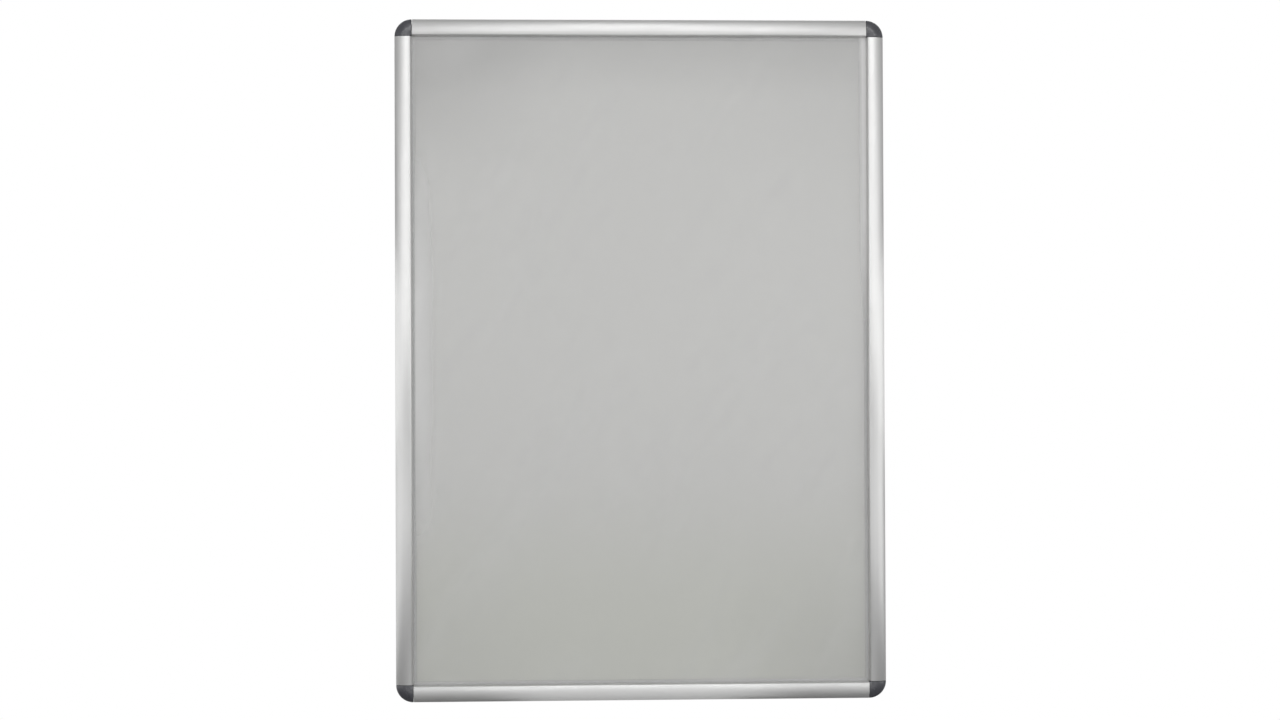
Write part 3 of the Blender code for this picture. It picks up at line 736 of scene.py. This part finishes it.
sheet_work = plate_mesh(
    SHEET_INSET, SHEET_BACK, SHEET_THICKNESS, SHEET_EDGE_ROUND, SHEET_CELLS, sheet_bow
)
sheet = new_piece("anti_glare_sheet", sheet_work, anti_glare_film())
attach(sheet, "frame")
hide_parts("clear_sheet")


# Snap rails: the rounded covers, which swing open away from the wall. Each is one extrusion of
# satin anodised aluminium, whose hook wraps the base rail's bead and whose lip holds the sheet.
# They are cut square and deburred, and stop short of the caps by a joint's gap.
RAIL_DEPTH = 0.014
RAIL_SETBACK = 0.0228
RAIL_WALL = 0.0012
RAIL_END_ROUND = 0.00012
CROWN_INSET = 0.0145
CROWN_RADIUS = 0.0175
SHOULDER_RADIUS = 0.0014
LIP_CENTRE = Vector((0.0216, 0.0067))
LIP_DEGREES = 13.0
PIVOT = Vector((0.0024, 0.0042))
HOOK_RADIUS = 0.0024
HOOK_BORE = 0.0013
HOOK_GAP_DEGREES = 35.2
HOOK_OPEN_DEGREES = 90.0
UNDERSIDE_END_DEGREES = 16.0
RAIL_SEAT_HEIGHT = 0.0082
RAIL_SEAT_WIDTH = 0.0014
RAIL_SEAT_RIM = 0.0006
RAIL_SEAT_FLOOR = 0.0008
RAIL_SEAT_WALL = 0.00065
SATIN_COLOUR = (0.68, 0.68, 0.675)
SATIN_ROUGHNESS = 0.40
SATIN_LINES = 0.5


def direction(degrees):
    """The way that an angle points in a rail's section."""
    return Vector((math.cos(math.radians(degrees)), math.sin(math.radians(degrees))))


def draw_line(work, vert, place):
    """Draws an outline on to a place and returns its new end."""
    end = bmesh.ops.extrude_vert_indiv(work, verts=[vert])["verts"][0]
    end.co = (place[0], place[1], 0.0)
    return end


def draw_arc(work, vert, centre, degrees, steps, squash=(1.0, 1.0)):
    """Turns an outline's end about a centre, anticlockwise for a positive angle, and squashes the
    arc towards that centre."""
    known = set(work.verts)
    turned = bmesh.ops.spin(
        work,
        geom=[vert],
        cent=(centre[0], centre[1], 0.0),
        axis=(0.0, 0.0, 1.0),
        angle=math.radians(degrees),
        steps=steps,
        use_duplicate=False,
    )
    drawn = [new for new in work.verts if new not in known]
    to_centre = Matrix.Translation((-centre[0], -centre[1], 0.0))
    bmesh.ops.scale(work, vec=(*squash, 1.0), space=to_centre, verts=drawn)
    return kind_of(turned["geom_last"], bmesh.types.BMVert)[0]


def lip_inner_wall(height):
    """A point of the lip's inner wall at a height."""
    normal = direction(LIP_DEGREES)
    reach = LIP_CENTRE.dot(normal) - RAIL_WALL / 2
    return Vector(((reach - height * normal.y) / normal.x, height))


def snap_rail_outline(work):
    """The snap rail's section: hook, arch, crown, shoulder, lip, spring seat and back inside."""
    normal = direction(LIP_DEGREES)
    crown_centre = Vector((CROWN_INSET, RAIL_DEPTH - CROWN_RADIUS))
    reach = LIP_CENTRE.dot(normal) + RAIL_WALL / 2 - SHOULDER_RADIUS - crown_centre.dot(normal)
    arm = CROWN_RADIUS - SHOULDER_RADIUS
    shoulder_turn = math.degrees(math.acos(reach / arm))
    crown_turn = 90.0 - LIP_DEGREES - shoulder_turn
    shoulder_centre = crown_centre + arm * direction(90.0 - crown_turn)
    arch_centre = Vector((CROWN_INSET, PIVOT.y))
    arch_run, arch_rise = CROWN_INSET, RAIL_DEPTH - PIVOT.y
    hook_turn = 180.0 - HOOK_OPEN_DEGREES - HOOK_GAP_DEGREES
    hook_end = 360.0 - HOOK_OPEN_DEGREES - HOOK_GAP_DEGREES

    first = work.verts.new((*(PIVOT + HOOK_RADIUS * direction(hook_end)), 0.0))
    last = draw_arc(work, first, PIVOT, -hook_turn, steps=12)
    arch_squash = (1.0, arch_rise / arch_run)
    last = draw_arc(work, last, arch_centre, -90.0, steps=56, squash=arch_squash)
    last = draw_arc(work, last, crown_centre, -crown_turn, steps=10)
    last = draw_arc(work, last, shoulder_centre, -shoulder_turn, steps=14)
    last = draw_line(work, last, LIP_CENTRE + RAIL_WALL / 2 * normal)
    last = draw_arc(work, last, LIP_CENTRE, -180.0, steps=12)

    seat_bottom = RAIL_SEAT_HEIGHT - RAIL_SEAT_FLOOR
    seat_top = RAIL_SEAT_HEIGHT + RAIL_SEAT_RIM
    seat_end = lip_inner_wall(RAIL_SEAT_HEIGHT).x - RAIL_SEAT_WIDTH
    last = draw_line(work, last, lip_inner_wall(seat_bottom))
    last = draw_line(work, last, (seat_end - RAIL_SEAT_WALL, seat_bottom))
    last = draw_line(work, last, (seat_end - RAIL_SEAT_WALL, seat_top))
    last = draw_line(work, last, (seat_end, seat_top))
    last = draw_line(work, last, (seat_end, RAIL_SEAT_HEIGHT))
    last = draw_line(work, last, lip_inner_wall(RAIL_SEAT_HEIGHT))

    inner_shoulder = SHOULDER_RADIUS - RAIL_WALL
    last = draw_line(work, last, shoulder_centre + inner_shoulder * normal)
    last = draw_arc(work, last, shoulder_centre, shoulder_turn, steps=10)
    last = draw_arc(work, last, crown_centre, crown_turn, steps=8)
    inner_run, inner_rise = arch_run - RAIL_WALL, arch_rise - RAIL_WALL
    underside_turn = 90.0 - UNDERSIDE_END_DEGREES
    underside_squash = (inner_run / inner_rise, 1.0)
    last = draw_arc(work, last, arch_centre, underside_turn, steps=36, squash=underside_squash)

    root = Vector(last.co[:2]) - PIVOT
    root_degrees = math.degrees(math.atan2(root.y, root.x))
    last = draw_line(work, last, PIVOT + HOOK_RADIUS * direction(root_degrees))
    last = draw_arc(work, last, PIVOT, HOOK_GAP_DEGREES - root_degrees, steps=10)
    last = draw_line(work, last, PIVOT + HOOK_BORE * direction(HOOK_GAP_DEGREES))
    last = draw_arc(work, last, PIVOT, hook_end - HOOK_GAP_DEGREES, steps=28)
    work.edges.new((last, first))


def extrusion(draw_outline, length, end_round):
    """A filled outline extruded both ways along Z, its two ends deburred."""
    work = bmesh.new()
    draw_outline(work)
    section = bmesh.ops.contextual_create(work, geom=work.edges[:])["faces"]
    bmesh.ops.translate(work, vec=(0.0, 0.0, -length / 2), verts=work.verts)
    drawn = bmesh.ops.extrude_face_region(work, geom=section)["geom"]
    far_end = kind_of(drawn, bmesh.types.BMVert)
    bmesh.ops.translate(work, vec=(0.0, 0.0, length), verts=far_end)
    bmesh.ops.recalc_face_normals(work, faces=work.faces)
    ends = [face for face in work.faces if len(face.verts) > 4]
    round_edges(work, [edge for face in ends for edge in face.edges], end_round)
    return work


def side_place(side):
    """From a rail's own (inset, height, length) to its place in the frame."""
    facing = Matrix(((0, 0, -1, 0), (0, -1, 0, 0), (-1, 0, 0, 0), (0, 0, 0, 1)))
    turn = Matrix.Rotation(SIDES.index(side) * math.pi / 2, 4, "Y")
    edge = {
        "top": (0.0, 0.0, cad_high.z),
        "right": (cad_high.x, 0.0, 0.0),
        "bottom": (0.0, 0.0, cad_low.z),
        "left": (cad_low.x, 0.0, 0.0),
    }[side]
    return Matrix.Translation(edge) @ turn @ facing


for along, sides in ALONG_SIDES:
    satin_name = "satin_aluminium_" + along
    satin = extruded_aluminium(satin_name, along, SATIN_COLOUR, SATIN_ROUGHNESS, SATIN_LINES)
    for side in sides:
        span = cad_high.x - cad_low.x if along == "X" else cad_high.z - cad_low.z
        rail_work = extrusion(snap_rail_outline, span - 2 * RAIL_SETBACK, RAIL_END_ROUND)
        rail = new_piece("satin_snap_rail_" + side, moved(rail_work, side_place(side)), satin)
        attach(rail, side + "_rail")
        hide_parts("snap_rail_" + side)


# Leaf springs: short strips of blued spring steel, bowed between a seat on the base rail and a
# seat on the snap rail's lip. They pass dead centre as the rail opens, and so hold it both ways.
SPRING_FOOT = Vector((0.0065, 0.00735))
SPRING_HEAD = Vector((0.01983, 0.00855))
SPRING_RISE = 0.0041
SPRING_THICKNESS = 0.0005
SPRING_WIDTH = 0.018
SPRING_ROUND = 0.00012
SPRING_STEPS = 40
SPRING_SHARES = {"short": (-0.25, 0.25), "long": (-0.34, 0.0, 0.34)}
SPRING_COLOUR = (0.40, 0.41, 0.44)


def leaf_spring_work(along):
    """A bowed strip in a rail's own frame, its middle at a distance along the rail."""
    chord = SPRING_HEAD - SPRING_FOOT
    radius = (chord.length_squared / 4 + SPRING_RISE**2) / (2 * SPRING_RISE)
    across = Vector((-chord.y, chord.x)).normalized()
    centre = (SPRING_FOOT + SPRING_HEAD) / 2 - (radius - SPRING_RISE) * across
    sweep = 2 * math.degrees(math.asin(chord.length / 2 / radius))
    work = bmesh.new()
    outward = (SPRING_FOOT - centre).normalized() * SPRING_THICKNESS / 2
    first = work.verts.new((*(SPRING_FOOT + outward), 0.0))
    draw_arc(work, first, centre, -sweep, steps=SPRING_STEPS)
    bmesh.ops.translate(work, vec=(0.0, 0.0, along - SPRING_WIDTH / 2), verts=work.verts)
    strip = bmesh.ops.extrude_edge_only(work, edges=work.edges[:])["geom"]
    wide = kind_of(strip, bmesh.types.BMVert)
    bmesh.ops.translate(work, vec=(0.0, 0.0, SPRING_WIDTH), verts=wide)
    bmesh.ops.recalc_face_normals(work, faces=work.faces)
    bmesh.ops.solidify(work, geom=work.faces[:], thickness=SPRING_THICKNESS)
    bmesh.ops.recalc_face_normals(work, faces=work.faces)
    round_edges(work, sharp_edges(work), SPRING_ROUND)
    return work


def spring_steel():
    """Hardened strip steel, rolled along its length, with a thin blue film."""
    material, tree, shader, coordinates = new_material("spring_steel")
    film = clouds(tree, coordinates, 240.0, detail=4.0)
    finish(
        tree,
        shader,
        between(tree, film, SPRING_COLOUR, darker=0.9, lighter=1.1),
        marked(tree, coordinates, scale=400.0, roughness=0.3, amount=0.06),
        bump(tree, film, strength=0.05),
    )
    shader.inputs["Metallic"].default_value = 1.0
    return material


blued_steel = spring_steel()
for side in SIDES:
    short = side in ("top", "bottom")
    length = (cad_high.x if short else cad_high.z) * 2 - 2 * RAIL_SETBACK
    place = side_place(side)
    for number, share in enumerate(SPRING_SHARES["short" if short else "long"], 1):
        along = share * length
        spring_work = moved(leaf_spring_work(along), place)
        spring = new_piece(f"steel_leaf_spring_{side}_{number}", spring_work, blued_steel)
        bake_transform(spring)
        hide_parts(f"leaf_spring_{side}_{number}")


# Studio: a grey room with a pale floor under the frame and a white backdrop behind it. Rows of
# softboxes stand in front, panels and strips at both sides, small boxes over and under the frame,
# a reflector low in front of it, and a lamp behind it, which lights its back.
FLOOR_HEIGHT = -0.85
FLOOR_RADIUS = 2.2
FLOOR_SIDES = 96
FLOOR_ROUGHNESS = 0.9
FLOOR_FADE_SPAN = (1.2, 2.156)
FLOOR_LIFT = 0.55
FLOOR_PALE = 0.93
FLOOR_DARK_SPAN = (0.6, 1.7)
FLOOR_GREYS = (0.20, 0.62)
ROOM_LIGHT = 0.44
BACKDROP_REACH = (0.86, 0.94)
MIDDLE = (0.0, 0.0, 0.0)
FRONT_ROWS_Y = -3.48
# Each row's height and the size of its boxes, then each box's place across and its radiance.
FRONT_ROWS = (
    (0.35, (0.8, 0.7), ((-1.9, 0.51), (-1.1, 1.90), (0.5, 1.41), (1.3, 1.88))),
    (1.05, (0.8, 0.7), ((-1.9, 2.39), (-0.3, 2.23), (0.5, 0.26), (1.3, 0.42), (2.1, 2.20))),
    (1.75, (0.8, 0.7), ((-1.1, 2.94), (1.3, 3.18))),
    (2.5, (0.8, 0.8), ((-0.3, 2.84), (0.5, 3.19))),
    (3.4, (1.6, 1.0), ((0.1, 1.65),)),
)
# A lamp's name, its place, what it is aimed at, its size and its radiance.
FAR_LAMPS = (
    ("low_reflector", (0.0, -3.4, -1.0), MIDDLE, (3.0, 1.0), 0.62),
    ("rear_box", (0.0, 2.6, 1.2), MIDDLE, (2.6, 1.6), 2.2),
    ("under_front", (0.0, -1.477, -0.711), (0.0, -0.077, 0.129), (1.2, 0.3), 0.34),
    ("under_rear", (0.0, 0.17, -0.82), (0.0, 0.17, 0.0), (0.4, 0.5), 0.43),
)
NEAR_LAMPS = (
    ("over_box", (-0.42, -0.6, 0.85), (-0.42, -0.4, 0.0), (0.4, 0.7), 0.19),
    ("over_box", (0.42, -0.6, 0.85), (0.42, -0.4, 0.0), (0.4, 0.7), 0.30),
    ("under_box", (0.02, -0.5, -0.82), (0.02, -0.5, 0.0), (0.62, 0.7), 0.54),
)
SIDE_DISTANCE = 0.85
SIDE_LAMP_HEIGHT = 0.38
# The panel in front and the strip behind: where each stands from the wall, and how wide it is.
SIDE_KINDS = (("side_panel", -0.6, 0.9), ("side_strip", 0.17, 0.5))
# The side and the height of each lamp, then the radiance of its panel and of its strip, if any.
SIDE_LAMPS = (
    (-1, -0.38, (0.80, 0.66)),
    (-1, 0.02, (0.83, 0.94)),
    (-1, 0.42, (0.26,)),
    (1, -0.38, (0.97,)),
    (1, 0.02, (1.11, 0.58)),
    (1, 0.42, (0.33,)),
)
CAMERA_AZIMUTH = -2.748
CAMERA_ELEVATION = -0.749
CAMERA_ROLL = -0.227
CAMERA_DISTANCE = 3.2466
CAMERA_TARGET = Vector((-0.00099, 0.0, -0.00073))
CAMERA_LENS = 70.3125
SENSOR_WIDTH = 36.0


def kinds_of_rays(tree):
    """Two masks: 1 for rays from the camera or through something clear, and 1 for glossy rays."""
    path = tree.nodes.new("ShaderNodeLightPath").outputs
    seen = calc(tree, "MAXIMUM", path["Is Camera Ray"], path["Is Transmission Ray"])
    return seen, path["Is Glossy Ray"]


def studio_world():
    """A grey room. The camera sees it as plain white, and the metal mirrors white where the
    backdrop stands behind the frame."""
    world = bpy.data.worlds.new("studio")
    bpy.context.scene.world = world
    world.use_nodes = True
    tree = world.node_tree
    tree.nodes.clear()
    towards = tree.nodes.new("ShaderNodeTexCoord").outputs["Generated"]
    parts = put(tree, "ShaderNodeSeparateXYZ", {"Vector": towards}).outputs
    seen, glossy = kinds_of_rays(tree)
    mirrored = calc(tree, "MULTIPLY", remap(tree, parts["Y"], BACKDROP_REACH), glossy)
    white = calc(tree, "MAXIMUM", seen, mirrored)
    mixed = put(tree, "ShaderNodeMixShader", {"Fac": white})
    for number, level in ((1, ROOM_LIGHT), (2, 1.0)):
        light = put(tree, "ShaderNodeBackground", {"Color": (level, level, level, 1.0)})
        tree.links.new(light.outputs["Background"], mixed.inputs[number])
    output = tree.nodes.new("ShaderNodeOutputWorld")
    tree.links.new(mixed.outputs["Shader"], output.inputs["Surface"])


def studio_floor():
    """A round floor, pale to the camera, whose rim fades into the white behind it. To all other
    rays it is grey, and darker under the frame, so that it doesn't light the frame from below."""
    work = bmesh.new()
    bmesh.ops.create_circle(work, cap_ends=True, segments=FLOOR_SIDES, radius=FLOOR_RADIUS)
    bmesh.ops.translate(work, vec=(0.0, 0.0, FLOOR_HEIGHT), verts=work.verts)
    material, tree, shader, coordinates = new_material("studio_floor")
    floor = new_piece("studio_floor", work, material)
    seen, _ = kinds_of_rays(tree)
    shader.inputs["Roughness"].default_value = FLOOR_ROUGHNESS
    inputs = {0: coordinates, 1: (1.0, 1.0, 0.0)}
    level = put(tree, "ShaderNodeVectorMath", inputs, operation="MULTIPLY").outputs["Vector"]
    radius = put(tree, "ShaderNodeVectorMath", {0: level}, operation="LENGTH").outputs["Value"]
    grey = remap(tree, radius, FLOOR_DARK_SPAN, FLOOR_GREYS, smooth=True)
    pale = remap(tree, seen, (0.0, 1.0), (grey, FLOOR_PALE))
    tree.links.new(pale, shader.inputs["Base Color"])
    rim = remap(tree, radius, FLOOR_FADE_SPAN, (FLOOR_LIFT, 1.0), smooth=True)
    mixed = put(tree, "ShaderNodeMixShader", {"Fac": calc(tree, "MULTIPLY", rim, seen)})
    white = put(tree, "ShaderNodeEmission", {"Color": (1.0, 1.0, 1.0, 1.0), "Strength": 1.0})
    tree.links.new(shader.outputs["BSDF"], mixed.inputs[1])
    tree.links.new(white.outputs["Emission"], mixed.inputs[2])
    output = tree.nodes["Material Output"]
    tree.links.new(mixed.outputs["Shader"], output.inputs["Surface"])


def softbox(name, place, aim, size, radiance):
    """A rectangular lamp at a place, aimed at a point, as bright as a surface of that radiance."""
    light = bpy.data.lights.new(name, "AREA")
    light.shape = "RECTANGLE"
    light.size, light.size_y = size
    light.energy = math.pi * size[0] * size[1] * radiance
    lamp = bpy.data.objects.new(name, light)
    bpy.context.scene.collection.objects.link(lamp)
    lamp.location = place
    lamp.rotation_euler = (Vector(aim) - Vector(place)).to_track_quat("-Z", "Y").to_euler()


def studio_lamps():
    """Hangs every lamp in its place."""
    for height, size, boxes in FRONT_ROWS:
        for x, radiance in boxes:
            softbox("front_box", (x, FRONT_ROWS_Y, height), MIDDLE, size, radiance)
    for lamp in FAR_LAMPS:
        softbox(*lamp)
    for side, height, radiances in SIDE_LAMPS:
        for (name, y, width), radiance in zip(SIDE_KINDS, radiances):
            place, aim = (side * SIDE_DISTANCE, y, height), (0.0, y, height)
            softbox(name, place, aim, (width, SIDE_LAMP_HEIGHT), radiance)
    for lamp in NEAR_LAMPS:
        softbox(*lamp)


def photo_camera():
    """The camera at the photograph's own angle: nearly straight on, a little to the left."""
    azimuth, elevation = math.radians(CAMERA_AZIMUTH), math.radians(CAMERA_ELEVATION)
    right = Vector((math.cos(azimuth), math.sin(azimuth), 0.0))
    level_back = Vector((math.sin(azimuth), -math.cos(azimuth), 0.0))
    back = math.cos(elevation) * level_back + Vector((0.0, 0.0, math.sin(elevation)))
    upright = Matrix((right, back.cross(right), back)).transposed()
    data = bpy.data.cameras.new("photo_camera")
    data.lens = CAMERA_LENS
    data.sensor_width = SENSOR_WIDTH
    camera = bpy.data.objects.new("photo_camera", data)
    bpy.context.scene.collection.objects.link(camera)
    turned = upright @ Matrix.Rotation(math.radians(CAMERA_ROLL), 3, "Z")
    place = Matrix.Translation(CAMERA_TARGET + CAMERA_DISTANCE * back)
    camera.matrix_world = place @ turned.to_4x4()
    bpy.context.scene.camera = camera


studio_world()
studio_floor()
studio_lamps()
photo_camera()
bpy.context.scene.view_settings.view_transform = "Standard"
